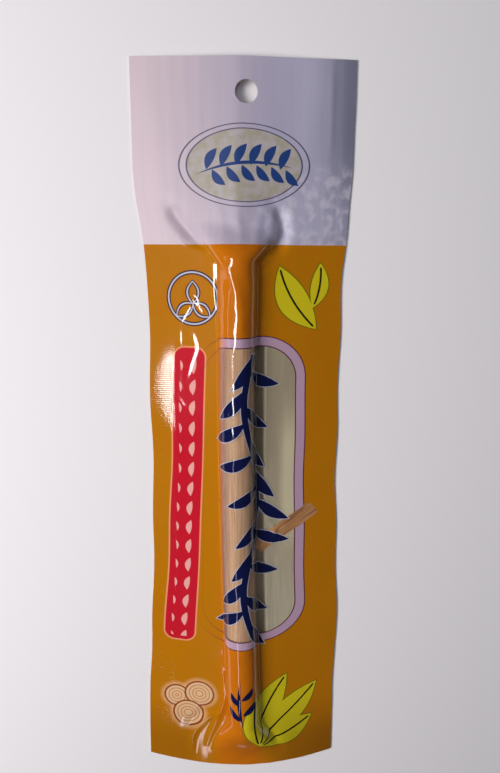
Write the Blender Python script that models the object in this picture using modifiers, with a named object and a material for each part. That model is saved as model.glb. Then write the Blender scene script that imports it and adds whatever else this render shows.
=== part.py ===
"""A miswak stick sealed in a flat printed pouch, lying on its back. Metres, +Z up, +Y towards the header.

Three pieces: the stick, the front film that is drawn tight over it, and the back film under it.
"""

import math

import bmesh
import bpy

MM = 0.001

# Pouch: two webs of film, welded along their rims, with a plain header that has the hang hole.
POUCH_LENGTH = 220 * MM
POUCH_WIDTH = 62 * MM
FILM_THICKNESS = 0.35 * MM
FILM_GAP = 0.3 * MM
HALF_LENGTH = POUCH_LENGTH / 2

# The film that climbs over the stick pulls the sides in, most around the stick's upper half.
WAIST_WIDTH = 56.4 * MM
WAIST_TOP = 48 * MM
WAIST_BOTTOM = -5 * MM
HEADER_FULL_WIDTH_Y = 84 * MM

# The weld stands at the stick's mid-height in the middle and droops to the table at both sides.
ARCH_POWER = 1.5
ARCH_AT_STICK = 5.3 * MM
ARCH_AT_TOP_EDGE = 2.6 * MM
ARCH_AT_BOTTOM_EDGE = 6.2 * MM
SIDE_EDGE_Z = FILM_THICKNESS + FILM_GAP / 2

# Stick: a nearly straight root, cut square, a little thicker at its upper end.
STICK_LENGTH = 150 * MM
STICK_TOP = 56 * MM
STICK_BOTTOM = STICK_TOP - STICK_LENGTH
STICK_RADIUS_TOP = 5.3 * MM
STICK_RADIUS_BOTTOM = 5.0 * MM
STICK_RINGS = 30
STICK_SIDES_RESOLUTION = 7
STICK_UNDERSIDE_Z = FILM_THICKNESS + FILM_GAP
CUT_CHAMFER = 0.35 * MM
BOW_LEFT = -1.7 * MM
BOW_RIGHT = 0.9 * MM
BOW_TURN_Y = 12 * MM
BOW_POWER = 1.6
# Shallow flutes along the root: how many go round it, how far they wander along it, and their weight.
FLUTE_SHARE = 0.018
FLUTES = [(2, 5.0, 1.0), (3, -8.0, 0.6)]

# How the film leaves the stick: hugging it to this angle from its crest, then straight, then a fillet.
LEAVE_ANGLE = math.radians(70)
FILLET = 4.0 * MM
END_FILLET = 1.4 * MM
TOP_TENT_SLOPE = math.tan(math.radians(40))
BOTTOM_TENT_SLOPE = math.tan(math.radians(48))
TENT_SPREAD = 0.11 / MM
FLAT_STRIP_HALF = 2.4 * MM

# Columns of the film, as millimetres from the stick's axis, and then evenly out to the pouch's side.
NEAR_COLUMNS = [0, 1.2, 2.4, 3.5, 4.4, 5.1, 5.8, 6.7, 7.9, 10.0]
FLANGE_COLUMNS = 3
# Rows of the film, as millimetres past each end of the stick, inwards negative.
END_ROWS = [-3.0, -0.8, 0.5, 1.6, 2.9, 4.4, 6.4, 9.0]
STICK_ROWS = 10
HEADER_ROWS = 5
TAIL_ROWS = 2

HANG_HOLE_DIAMETER = 6.2 * MM
HANG_HOLE_X = 0.7 * MM
HANG_HOLE_Y = 101 * MM
HANG_HOLE_SIDES = 32
PUNCH_DEPTH = 30 * MM

ORANGE_PRINT = (0.62, 0.24, 0.012, 1)
CREAM_FILM = (0.62, 0.55, 0.40, 1)
PEELED_ROOT = (0.60, 0.36, 0.17, 1)


def smooth_step(share):
    share = min(max(share, 0.0), 1.0)
    return share * share * (3 - 2 * share)


def smooth_max(a, b, blend):
    """The larger of two heights, rounded where they cross."""
    near = max(blend - abs(a - b), 0.0) / blend
    return max(a, b) + near * near * blend / 4


def mix(a, b, share):
    return a + (b - a) * share


def half_width(y):
    """Half the pouch's width at y: full at both ends, drawn in around the stick."""
    flare_up = smooth_step((y - WAIST_TOP) / (HEADER_FULL_WIDTH_Y - WAIST_TOP))
    flare_down = smooth_step((WAIST_BOTTOM - y) / (WAIST_BOTTOM + HALF_LENGTH))
    return mix(WAIST_WIDTH, POUCH_WIDTH, max(flare_up, flare_down)) / 2


def axis_x(y):
    """The stick's sideways bow: its axis lies left of centre above and right of centre at its foot."""
    share = max((BOW_TURN_Y - y) / (BOW_TURN_Y - STICK_BOTTOM), 0.0)
    return mix(BOW_LEFT, BOW_RIGHT, share ** BOW_POWER)


def stick_radius(y):
    share = (y - STICK_BOTTOM) / STICK_LENGTH
    return mix(STICK_RADIUS_BOTTOM, STICK_RADIUS_TOP, min(max(share, 0.0), 1.0))


def stick_axis_z(y):
    return STICK_UNDERSIDE_Z + stick_radius(y)


def past_stick(y):
    """How far y lies past the nearer end of the stick (negative along it), and that end's tent slope."""
    above, below = y - STICK_TOP, STICK_BOTTOM - y
    return (above, TOP_TENT_SLOPE) if above > below else (below, BOTTOM_TENT_SLOPE)


def arch_height(y):
    """How high the weld stands above the pouch's sides, over the stick's axis."""
    above, below = y - STICK_TOP, STICK_BOTTOM - y
    if above > 0:
        return mix(ARCH_AT_STICK, ARCH_AT_TOP_EDGE, smooth_step(above / (HALF_LENGTH - STICK_TOP)))
    return mix(ARCH_AT_STICK, ARCH_AT_BOTTOM_EDGE, smooth_step(below / (HALF_LENGTH + STICK_BOTTOM)))


def weld_z(y, out, reach):
    """Height of the weld between the films, at a distance out from the axis on a side that is reach wide."""
    return SIDE_EDGE_Z + arch_height(y) * (1 - (out / reach) ** ARCH_POWER)


def drop_from_crest(out, radius):
    """How far a film drawn over a round of this radius has dropped at a distance out from its crest."""
    leave = radius * math.sin(LEAVE_ANGLE)
    if out < leave:
        return radius - math.sqrt(radius * radius - out * out)
    return radius * (1 - math.cos(LEAVE_ANGLE)) + (out - leave) * math.tan(LEAVE_ANGLE)


def film_z(y, out, reach, front):
    """Height of the inner face of the front or the back film."""
    weld = weld_z(y, out, reach) + (FILM_GAP / 2 if front else -FILM_GAP / 2)
    radius = stick_radius(y) + FILM_GAP
    past, slope = past_stick(y)
    spread = 1 + max(past, 0.0) * TENT_SPREAD
    tent_drop = smooth_max(past - END_FILLET, 0.0, END_FILLET) * slope
    if front:
        crest = stick_axis_z(y) + radius
        return smooth_max(crest - drop_from_crest(out / spread, radius) - tent_drop, weld, FILLET)
    rise = drop_from_crest(max(out - FLAT_STRIP_HALF, 0.0) / spread, radius) + tent_drop
    return -smooth_max(-(FILM_THICKNESS + rise), -weld, FILLET)


def film_columns():
    """Columns from the left side to the right: (side, distance from the axis, share of the flange)."""
    near = [(offset * MM, 0.0) for offset in NEAR_COLUMNS]
    flange = [(NEAR_COLUMNS[-1] * MM, (n + 1) / FLANGE_COLUMNS) for n in range(FLANGE_COLUMNS)]
    right = [(1, offset, share) for offset, share in near + flange]
    left = [(-1, offset, share) for _, offset, share in reversed(right[1:])]
    return left + right


def film_rows():
    """Rows from the bottom edge to the top edge, close together where the film drops past the stick's ends."""
    below = [STICK_BOTTOM - past * MM for past in reversed(END_ROWS)]
    above = [STICK_TOP + past * MM for past in END_ROWS]
    tail = [mix(-HALF_LENGTH, below[0], n / TAIL_ROWS) for n in range(TAIL_ROWS)]
    along = [mix(below[-1], above[0], (n + 1) / (STICK_ROWS + 1)) for n in range(STICK_ROWS)]
    header = [mix(above[-1], HALF_LENGTH, (n + 1) / HEADER_ROWS) for n in range(HEADER_ROWS)]
    return tail + below + along + above + header


def film_point(column, y, front):
    side, offset, flange_share = column
    reach = half_width(y) - side * axis_x(y)
    out = mix(offset, reach, flange_share)
    return (axis_x(y) + side * out, y, film_z(y, out, reach, front))


def print_material(name, colour, roughness):
    material = bpy.data.materials.new(name)
    material.use_nodes = True
    shader = material.node_tree.nodes["Principled BSDF"]
    shader.inputs["Base Color"].default_value = colour
    shader.inputs["Roughness"].default_value = roughness
    material.diffuse_color = colour
    return material


def collect(part, collection):
    for old in list(part.users_collection):
        old.objects.unlink(part)
    collection.objects.link(part)


def make_hole_cutter(cutters):
    """A round punch through both films, kept as a guide and left out of the part."""
    bpy.ops.mesh.primitive_cylinder_add(
        vertices=HANG_HOLE_SIDES,
        radius=HANG_HOLE_DIAMETER / 2,
        depth=PUNCH_DEPTH,
        location=(HANG_HOLE_X, HANG_HOLE_Y, 0),
    )
    cutter = bpy.context.object
    cutter.name = "hang_hole_punch"
    cutter.hide_render = True
    cutter.display_type = "WIRE"
    collect(cutter, cutters)
    return cutter


def make_film(name, front, material, cutter, collection):
    """A flat grid whose points are moved to the film's inner face, given its thickness, then punched."""
    columns, rows = film_columns(), film_rows()
    across, along = len(columns) - 1, len(rows) - 1
    bpy.ops.mesh.primitive_grid_add(x_subdivisions=across, y_subdivisions=along, size=1)
    film = bpy.context.object
    film.name = film.data.name = name
    for vertex in film.data.vertices:
        column = columns[round((vertex.co.x + 0.5) * across)]
        row = rows[round((vertex.co.y + 0.5) * along)]
        vertex.co = film_point(column, row, front)
    film.data.materials.append(material)
    wall = film.modifiers.new("film thickness", "SOLIDIFY")
    wall.thickness = FILM_THICKNESS
    wall.offset = 1 if front else -1
    punch = film.modifiers.new("hang hole", "BOOLEAN")
    punch.operation = "DIFFERENCE"
    punch.object = cutter
    film.data.shade_smooth()
    film.data.set_sharp_from_angle(angle=math.radians(50))
    collect(film, collection)
    return film


def make_stick(material, collection):
    """A round root along its bowed axis, slightly fluted inwards, with lightly chamfered cut ends."""
    route = bpy.data.curves.new("stick_axis", "CURVE")
    route.dimensions = "3D"
    route.bevel_depth = 1
    route.bevel_resolution = STICK_SIDES_RESOLUTION
    route.use_fill_caps = True
    spline = route.splines.new("POLY")
    spline.points.add(STICK_RINGS)
    for n, point in enumerate(spline.points):
        y = mix(STICK_TOP, STICK_BOTTOM, n / STICK_RINGS)
        point.co = (axis_x(y), y, stick_axis_z(y), 1)
        point.radius = stick_radius(y)
    tube = bpy.data.objects.new("stick_tube", route)
    collection.objects.link(tube)
    bpy.context.view_layer.update()

    evaluated = tube.evaluated_get(bpy.context.evaluated_depsgraph_get())
    mesh = bpy.data.meshes.new_from_object(evaluated)
    mesh.name = "miswak_stick"
    shaped = bmesh.new()
    shaped.from_mesh(mesh)
    bmesh.ops.remove_doubles(shaped, verts=shaped.verts, dist=0.01 * MM)
    for vertex in shaped.verts:
        x, y, z = vertex.co
        across, up = x - axis_x(y), z - stick_axis_z(y)
        shrink = 1 - flute_depth(math.atan2(up, across), y)
        vertex.co = (axis_x(y) + across * shrink, y, stick_axis_z(y) + up * shrink)
    shaped.to_mesh(mesh)
    shaped.free()

    stick = bpy.data.objects.new("miswak_stick", mesh)
    stick.matrix_world = tube.matrix_world
    collection.objects.link(stick)
    bpy.data.objects.remove(tube)
    bpy.data.curves.remove(route)
    stick.data.materials.clear()
    stick.data.materials.append(material)
    chamfer = stick.modifiers.new("cut edges", "BEVEL")
    chamfer.width = CUT_CHAMFER
    chamfer.segments = 1
    chamfer.limit_method = "ANGLE"
    chamfer.angle_limit = math.radians(60)
    stick.data.shade_smooth()
    stick.data.set_sharp_from_angle(angle=math.radians(50))
    return stick


def flute_depth(angle, y):
    """Share by which the root's surface lies under its full round."""
    along = y / STICK_LENGTH
    waves = sum(weight * math.sin(count * angle + wander * along) for count, wander, weight in FLUTES)
    full = sum(weight for _, _, weight in FLUTES)
    return FLUTE_SHARE * (1 + waves / full) / 2


def main():
    for old in list(bpy.data.objects):
        bpy.data.objects.remove(old)
    scene = bpy.context.scene
    parts = bpy.data.collections.new("miswak_stick_in_pouch")
    cutters = bpy.data.collections.new("cutters")
    scene.collection.children.link(parts)
    scene.collection.children.link(cutters)

    cutter = make_hole_cutter(cutters)
    make_film("front_film", True, print_material("orange_print", ORANGE_PRINT, 0.25), cutter, parts)
    make_film("back_film", False, print_material("cream_film", CREAM_FILM, 0.35), cutter, parts)
    make_stick(print_material("peeled_root", PEELED_ROOT, 0.6), parts)


main()
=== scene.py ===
"""The looks of a miswak stick sealed in a printed pouch: draped films, peeled root, camera and light."""

import math

import bmesh
import bpy
import numpy as np
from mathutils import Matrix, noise


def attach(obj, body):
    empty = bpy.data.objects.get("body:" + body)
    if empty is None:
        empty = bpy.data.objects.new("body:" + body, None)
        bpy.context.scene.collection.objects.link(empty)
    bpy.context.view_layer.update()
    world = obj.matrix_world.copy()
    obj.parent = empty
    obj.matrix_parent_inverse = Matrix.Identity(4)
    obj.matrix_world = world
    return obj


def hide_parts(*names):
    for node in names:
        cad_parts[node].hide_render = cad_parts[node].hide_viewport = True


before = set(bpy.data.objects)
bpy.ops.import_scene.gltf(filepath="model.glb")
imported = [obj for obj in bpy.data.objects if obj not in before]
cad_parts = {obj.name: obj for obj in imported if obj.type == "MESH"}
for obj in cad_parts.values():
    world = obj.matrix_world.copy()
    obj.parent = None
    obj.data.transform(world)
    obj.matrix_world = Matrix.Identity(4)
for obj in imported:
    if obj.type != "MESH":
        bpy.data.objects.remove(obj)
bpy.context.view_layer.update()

MM = 0.001

# Camera: a phone held close above the pouch. Place in millimetres, turn in degrees.
CAMERA_PLACE = (-3.9, 58.0, 183.8)
CAMERA_TURN = (-12.1, -1.89, -0.05)
CAMERA_LENS = 28.83

# Pouch, in millimetres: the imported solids' outline, with a tighter drape on a finer mesh.
POUCH_LENGTH = 220.0
POUCH_WIDTH = 62.0
HALF_LENGTH = POUCH_LENGTH / 2
HALF_WIDTH = POUCH_WIDTH / 2
WAIST_WIDTH = 56.4
WAIST_TOP = 48.0
WAIST_BOTTOM = -5.0
HEADER_FULL_WIDTH_Y = 84.0
SIDE_EDGE_Z = 0.5
ARCH_ROUNDING = 0.12
ARCH_ROUNDING_AT_BOTTOM = 0.6
ARCH_POWER = 0.85
ARCH_KNEE = 0.5
ARCH_KNEE_BLEND = 0.45
ARCH_STEEPER_AT_BOTTOM = 2.0
ARCH_AT_STICK = 6.5
ARCH_AT_TOP_EDGE = 2.6
ARCH_AT_BOTTOM_EDGE = 6.2
HANG_HOLE_DIAMETER = 6.2
HANG_HOLE_PLACE = (0.7, 101.0)
SEAL_INNER = 23.6

# Stick, in millimetres.
STICK_LENGTH = 150.0
STICK_TOP = 56.0
STICK_BOTTOM = STICK_TOP - STICK_LENGTH
STICK_RADIUS_TOP = 5.3
STICK_RADIUS_BOTTOM = 5.0
STICK_UNDERSIDE_Z = 0.65
BOW_LEFT = -1.7
BOW_RIGHT = 0.9
BOW_TURN_Y = 12.0
BOW_POWER = 1.6

# How the films lie over and under the stick.
FILM_THICKNESS = 0.1
FILM_CLEARANCE = 0.25
WELD_CLEARANCE = 0.04
LEAVE_LEFT = math.radians(83)
LEAVE_RIGHT = math.radians(82)
LEAVE_BACK = math.radians(70)
FLAT_STRIP_HALF = 2.4
FILLET = 1.2
END_FILLET = 2.4
TOP_TENT_SLOPE = math.tan(math.radians(38))
BOTTOM_TENT_SLOPE = math.tan(math.radians(23))
BACK_TENT_SLOPE = math.tan(math.radians(40))
TENT_SPREAD = 0.15
FLOOR_CLEARANCE = 0.02

# Cells of a film's mesh, and the table that turns a place on the flat film into a place across the pouch.
FILM_CELLS = (104, 368)
HOLE_CELLS = 10
HOLE_BLEND = 4.0
TABLE_COLUMNS = 400
TABLE_ROWS = 441

# Creases in the film, on the flat film in millimetres: height (down if negative), width, and route.
CREASES = [
    # Tent over the stick's top end, and the header's valleys and ripples.
    (0.5, 0.9, [(-16.2, 59.6), (-14.0, 58.9), (-11.2, 57.8), (-8.4, 56.6), (-5.6, 55.2), (-3.8, 52.0),
                (-2.9, 49.0)]),
    (0.24, 0.9, [(-11.6, 56.6), (-11.5, 52.0), (-11.2, 46.0), (-10.0, 39.0), (-8.8, 33.0), (-8.4, 28.0)]),
    (0.3, 1.3, [(-4.6, 56.4), (-2.0, 49.0), (-0.9, 43.4), (-0.6, 38.0), (-0.7, 31.0)]),
    (-1.5, 2.1, [(-21.6, 71.5), (-18.9, 67.2), (-15.6, 62.6), (-13.2, 59.8)]),
    (-1.5, 1.9, [(8.8, 72.0), (11.0, 68.0), (12.3, 63.4), (11.8, 60.0), (10.2, 57.4)]),
    (-0.4, 1.0, [(-17.0, 65.6), (-14.6, 61.6), (-12.6, 59.4)]),
    (-0.5, 1.0, [(12.2, 66.0), (11.8, 61.6), (10.4, 58.8)]),
    (0.3, 0.5, [(7.0, 54.6), (9.6, 56.2), (12.6, 57.4)]),
    (0.3, 0.5, [(8.0, 52.4), (11.0, 53.6), (14.0, 53.9)]),
    (0.2, 1.3, [(-5.4, 60.5), (-6.2, 66.0), (-7.4, 72.5)]),
    (0.2, 1.2, [(-0.8, 59.4), (-0.9, 64.0), (-1.9, 69.0)]),
    (0.22, 1.3, [(3.6, 60.0), (4.3, 65.0), (5.6, 71.0)]),
    (0.16, 1.1, [(7.6, 62.0), (8.3, 67.0), (8.8, 72.0)]),
    # Faint folds in the header.
    (0.16, 0.7, [(24.4, 108.8), (24.5, 97.0), (24.6, 84.5)]),
    (0.16, 0.7, [(24.7, 83.0), (15.8, 82.5), (6.8, 82.0)]),
    # Short creases that glint on the left side.
    (0.14, 0.7, [(-17.6, 45.2), (-19.8, 41.6), (-22.6, 37.2)]),
    (0.13, 0.6, [(-17.8, 45.4), (-16.2, 42.8), (-14.8, 40.5)]),
    (0.3, 0.6, [(-18.4, 46.0), (-17.5, 45.0), (-16.8, 44.2)]),
    (0.12, 0.6, [(-22.0, 36.8), (-22.1, 33.8), (-21.6, 30.2)]),
    (0.18, 0.8, [(-19.2, 37.4), (-17.5, 32.9), (-17.3, 30.1), (-18.3, 27.4), (-20.2, 20.9)]),
    (0.1, 0.5, [(-21.8, 23.8), (-22.0, 21.0), (-21.5, 18.2)]),
    (0.12, 0.6, [(-23.2, 16.4), (-21.9, 14.6), (-20.4, 12.8)]),
    # Crinkle in the window's clear part.
    (0.4, 0.45, [(9.9, -21.6), (12.0, -24.8), (12.5, -27.4), (11.7, -31.4)]),
    (0.35, 0.4, [(13.9, -24.6), (12.5, -26.6), (11.0, -27.4)]),
    (0.3, 0.4, [(14.2, -28.6), (12.6, -27.4)]),
    # Creases that spread from the stick's bottom end.
    (0.5, 0.8, [(-8.4, -73.0), (-7.8, -81.8), (-8.0, -87.5), (-10.2, -94.5), (-11.4, -102.6)]),
    (0.5, 0.8, [(-8.4, -90.0), (-12.2, -92.8), (-15.3, -96.8), (-16.6, -101.0), (-16.2, -107.0)]),
    (-0.5, 1.6, [(7.4, -93.0), (9.5, -98.0), (12.6, -104.0)]),
    (-0.5, 1.6, [(-12.6, -88.0), (-14.6, -92.0), (-19.6, -97.0)]),
]
CREASE_STEP = 1.0
CREASE_TAPER = 0.3

# Unevenness of the pouch and of the root: size, radians per millimetre across and along, phase.
WAVINESS = 0.22
SLOW_WAVES = [(0.16, 0.21, 0.13, 0.4), (0.12, -0.17, 0.24, 1.9), (0.09, 0.38, 0.09, 3.1),
              (0.07, 0.11, -0.41, 0.8), (0.05, -0.55, 0.21, 5.0), (0.04, 0.62, 0.35, 2.2)]
ROOT_LUMPS = 0.034
LUMP_WAVES = [(0.9, 0.55, 0.62, 0.2), (0.8, -0.7, 0.95, 1.1), (0.6, 0.9, -0.37, 2.6), (0.4, 0.5, 1.6, 4.0)]
LUMPS_HALF_WIDTH, LUMPS_SIDE_FADE = 9.5, 3.0
LUMPS_PAST_TOP, LUMPS_TOP_FADE = 2.0, 4.0

# How far off the weld the front film's relief is square to it, and the back film has no relief.
SQUARE_FROM_WELD = 3.0
STILL_FROM_WELD = 1.5
NORMAL_NUDGE = 0.05

# The left side weld stands up a little beside the stick's upper half, hinged at its inner edge.
LIFTED_WELD = (0.0, 36.0)
LIFTED_WELD_RUN_OUT = 13.0
LIFTED_WELD_WIDTH = 9.0
LIFTED_WELD_SLOPE = 0.13

# The side edges' shift to the right, where it starts and the run of each fade, and their waver.
EDGE_SHIFT_LEFT = 0.6
EDGE_SHIFT_RIGHT = 0.8
EDGE_SHIFT_LOWER_RIGHT = 0.7
LOWER_SHIFT_START, LOWER_SHIFT_RUN = 10.0, 60.0
SHIFT_FROM_MIDDLE, SHIFT_SIDE_RUN = 9.0, 20.0
SHIFT_TOP_RUN = 20.0
SHIFT_FROM_ROOT_END, SHIFT_END_RUN = 8.0, 24.0
EDGE_WAVER = 0.22
EDGE_WAVES = {1: (0.21, 0.6), -1: (0.17, 2.0)}


def mix(a, b, share):
    return a + (b - a) * share


def smooth_step(share):
    share = np.clip(share, 0.0, 1.0)
    return share * share * (3 - 2 * share)


def smooth_max(a, b, blend):
    """The larger of two heights, rounded where they cross."""
    near = np.maximum(blend - np.abs(a - b), 0.0) / blend
    return np.maximum(a, b) + near * near * blend / 4


def half_width(y):
    """Half the pouch's width at y: full at both ends, drawn in around the stick."""
    flare_up = smooth_step((y - WAIST_TOP) / (HEADER_FULL_WIDTH_Y - WAIST_TOP))
    flare_down = smooth_step((WAIST_BOTTOM - y) / (WAIST_BOTTOM + HALF_LENGTH))
    return mix(WAIST_WIDTH, POUCH_WIDTH, np.maximum(flare_up, flare_down)) / 2


def axis_x(y):
    """The stick's sideways bow."""
    share = np.maximum((BOW_TURN_Y - y) / (BOW_TURN_Y - STICK_BOTTOM), 0.0)
    return mix(BOW_LEFT, BOW_RIGHT, share**BOW_POWER)


def stick_radius(y):
    share = np.clip((y - STICK_BOTTOM) / STICK_LENGTH, 0.0, 1.0)
    return mix(STICK_RADIUS_BOTTOM, STICK_RADIUS_TOP, share)


def arch_fall(share, steeper, rounding):
    """How far the arch has fallen at a share of the way out, and how much faster past the knee."""
    even = np.hypot(share**ARCH_POWER, rounding) - rounding
    return even + steeper * smooth_max(share - ARCH_KNEE, 0.0, ARCH_KNEE_BLEND)


def weld_z(y, out, reach):
    """Height of the weld between the films: an arch over the table, standing on the pouch's two sides."""
    above = smooth_step((y - STICK_TOP) / (HALF_LENGTH - STICK_TOP))
    below = smooth_step((STICK_BOTTOM - y) / (HALF_LENGTH + STICK_BOTTOM))
    arch = ARCH_AT_STICK + (ARCH_AT_TOP_EDGE - ARCH_AT_STICK) * above
    arch = arch + (ARCH_AT_BOTTOM_EDGE - ARCH_AT_STICK) * below
    steeper = ARCH_STEEPER_AT_BOTTOM * below
    rounding = mix(ARCH_ROUNDING, ARCH_ROUNDING_AT_BOTTOM, below)
    fall = arch_fall(np.minimum(out, reach) / reach, steeper, rounding) / arch_fall(1.0, steeper, rounding)
    return SIDE_EDGE_Z + arch * (1 - fall)


def drop_from_crest(out, radius, leave_angle):
    """How far a film drawn over a round of this radius has dropped at a distance out from its crest."""
    leave = radius * np.sin(leave_angle)
    round_part = radius - np.sqrt(radius * radius - np.minimum(out, leave) ** 2)
    return round_part + np.maximum(out - leave, 0.0) * np.tan(leave_angle)


def film_height(x, y, front):
    """Height of the smooth film's inner face over a place on the table."""
    centre = axis_x(y)
    side = np.where(x >= centre, 1.0, -1.0)
    out = np.abs(x - centre)
    weld = weld_z(y, out, half_width(y) - side * centre)
    radius = stick_radius(y) + FILM_CLEARANCE
    above, below = y - STICK_TOP, STICK_BOTTOM - y
    past = np.maximum(above, below)
    spread = 1 + np.maximum(past, 0.0) * TENT_SPREAD
    slope = np.where(above > below, TOP_TENT_SLOPE, BOTTOM_TENT_SLOPE if front else BACK_TENT_SLOPE)
    tent_drop = smooth_max(past - END_FILLET, 0.0, END_FILLET) * slope
    if front:
        leave = np.where(side > 0, LEAVE_RIGHT, LEAVE_LEFT)
        crest = STICK_UNDERSIDE_Z + stick_radius(y) + radius
        hug = crest - drop_from_crest(out / spread, radius, leave) - tent_drop
        return smooth_max(hug, weld + WELD_CLEARANCE, FILLET)
    rise = drop_from_crest(np.maximum(out - FLAT_STRIP_HALF, 0.0) / spread, radius, LEAVE_BACK) + tent_drop
    return -smooth_max(-(FLOOR_CLEARANCE + FILM_THICKNESS + rise), WELD_CLEARANCE - weld, FILLET)


def across_rows(front):
    """For each row of the film: places across the pouch, and how far along the flat film each one is."""
    rows = np.linspace(-HALF_LENGTH, HALF_LENGTH, TABLE_ROWS)
    for y in rows:
        across = np.linspace(-half_width(y), half_width(y), 4 * TABLE_COLUMNS)
        height = film_height(across, np.full_like(across, y), front)
        arc = np.cumsum(np.hypot(np.diff(across), np.diff(height)))
        yield across, np.concatenate([[0.0], arc]) / arc[-1] * POUCH_WIDTH - HALF_WIDTH


def lay_film(front):
    """Table of where the flat film's columns lie across the pouch once it is over the stick, row by row."""
    flats = np.linspace(-HALF_WIDTH, HALF_WIDTH, TABLE_COLUMNS + 1)
    return np.array([np.interp(flats, flat, across) for across, flat in across_rows(front)])


def unlay_film(front):
    """Table of the way back: the flat film's column over each place across a full-width pouch, row by row."""
    places = np.linspace(-HALF_WIDTH, HALF_WIDTH, TABLE_COLUMNS + 1)
    return np.array([np.interp(places, across, flat) for across, flat in across_rows(front)])


def read_table(sideways, y, table):
    """Reads a table at places sideways, in millimetres, and along y."""
    row = np.clip((y + HALF_LENGTH) / POUCH_LENGTH, 0, 1) * (TABLE_ROWS - 1.001)
    column = np.clip((sideways + HALF_WIDTH) / POUCH_WIDTH, 0, 1) * (TABLE_COLUMNS - 0.001)
    i, j = row.astype(int), column.astype(int)
    low = mix(table[i, j], table[i, j + 1], column - j)
    high = mix(table[i + 1, j], table[i + 1, j + 1], column - j)
    return mix(low, high, row - i)


def smooth_route(points):
    """A Catmull-Rom curve through the points, sampled about every CREASE_STEP."""
    pts = np.array([points[0], *points, points[-1]], float)
    samples = []
    for a, b, c, d in zip(pts, pts[1:], pts[2:], pts[3:]):
        count = max(int(np.linalg.norm(c - b) / CREASE_STEP), 1)
        for t in np.arange(count) / count:
            samples.append(0.5 * (2 * b + (c - a) * t + (2 * a - 5 * b + 4 * c - d) * t**2
                                  + (3 * b - a - 3 * c + d) * t**3))
    return np.array([*samples, pts[-1]])


def crease_height(flat_x, y, height, width, points):
    """Height of one crease over the flat film: a rounded ridge along its route, fading at both ends."""
    route = smooth_route(points)
    reach = 3 * width
    near = (flat_x > route[:, 0].min() - reach) & (flat_x < route[:, 0].max() + reach)
    near &= (y > route[:, 1].min() - reach) & (y < route[:, 1].max() + reach)
    result = np.zeros_like(flat_x)
    if not near.any():
        return result
    here = np.stack([flat_x[near], y[near]], 1)
    best, along = np.full(len(here), np.inf), np.zeros(len(here))
    for number, (start, end) in enumerate(zip(route, route[1:])):
        step = end - start
        t = np.clip((here - start) @ step / (step @ step), 0, 1)
        distance = np.linalg.norm(here - start - t[:, None] * step, axis=1)
        closer = distance < best
        best = np.where(closer, distance, best)
        along = np.where(closer, (number + t) / (len(route) - 1), along)
    fade = smooth_step(np.minimum(along, 1 - along) / CREASE_TAPER)
    result[near] = height * np.exp(-((best / width) ** 2)) * (0.25 + 0.75 * fade)
    return result


def sum_of_waves(flat_x, y, waves):
    return sum(size * np.sin(kx * flat_x + ky * y + phase) for size, kx, ky, phase in waves)


def wave_height(flat_x, y):
    """Slow unevenness of the whole pouch, and the root's own lumps under the film, in millimetres."""
    over_root = smooth_step((LUMPS_HALF_WIDTH - np.abs(flat_x - axis_x(y))) / LUMPS_SIDE_FADE)
    over_root = over_root * smooth_step((STICK_TOP + LUMPS_PAST_TOP - y) / LUMPS_TOP_FADE)
    lumps = ROOT_LUMPS * sum_of_waves(flat_x, y, LUMP_WAVES) * over_root
    return WAVINESS * sum_of_waves(flat_x, y, SLOW_WAVES) + lumps


def edge_shift(flat_x, y):
    """How far the side edges stand to the right of their even line, in millimetres, with a slight waver."""
    beside_root = smooth_step((STICK_TOP + SHIFT_TOP_RUN - y) / SHIFT_TOP_RUN)
    beside_root = beside_root * smooth_step((y - STICK_BOTTOM - SHIFT_FROM_ROOT_END) / SHIFT_END_RUN)
    lower = EDGE_SHIFT_LOWER_RIGHT * smooth_step((LOWER_SHIFT_START - y) / LOWER_SHIFT_RUN)
    shift = 0.0
    for side, size in ((1, EDGE_SHIFT_RIGHT + lower), (-1, EDGE_SHIFT_LEFT)):
        pace, phase = EDGE_WAVES[side]
        share = smooth_step((side * flat_x - SHIFT_FROM_MIDDLE) / SHIFT_SIDE_RUN)
        shift = shift + share * (size + EDGE_WAVER * np.sin(pace * y + phase))
    return beside_root * shift


def weld_lift(flat_x, y):
    """How far the lifted side weld stands above its place: steepest at its hinge, and levelling out."""
    low, high = LIFTED_WELD
    share = smooth_step((y - low) / LIFTED_WELD_RUN_OUT) * smooth_step((high - y) / LIFTED_WELD_RUN_OUT)
    from_hinge = np.clip(-SEAL_INNER - flat_x, 0.0, LIFTED_WELD_WIDTH)
    return LIFTED_WELD_SLOPE * share * from_hinge * (1 - from_hinge / (2 * LIFTED_WELD_WIDTH))


def film_point(flat_x, y, table, front):
    """The smooth film's place for each point of the flat film, as rows of x, y, z."""
    x = read_table(flat_x, y, table)
    return np.stack([x, y, film_height(x, y, front)], 1)


def film_normal(flat_x, y, table, front):
    across = film_point(np.minimum(flat_x + NORMAL_NUDGE, HALF_WIDTH), y, table, front)
    across -= film_point(np.maximum(flat_x - NORMAL_NUDGE, -HALF_WIDTH), y, table, front)
    along = film_point(flat_x, np.minimum(y + NORMAL_NUDGE, HALF_LENGTH), table, front)
    along -= film_point(flat_x, np.maximum(y - NORMAL_NUDGE, -HALF_LENGTH), table, front)
    normal = np.cross(across, along)
    return normal / np.linalg.norm(normal, axis=1)[:, None]


def weld_height(x, y):
    """Height of the weld over a place on the table."""
    side = np.where(x >= axis_x(y), 1.0, -1.0)
    return weld_z(y, np.abs(x - axis_x(y)), half_width(y) - side * axis_x(y))


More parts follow.
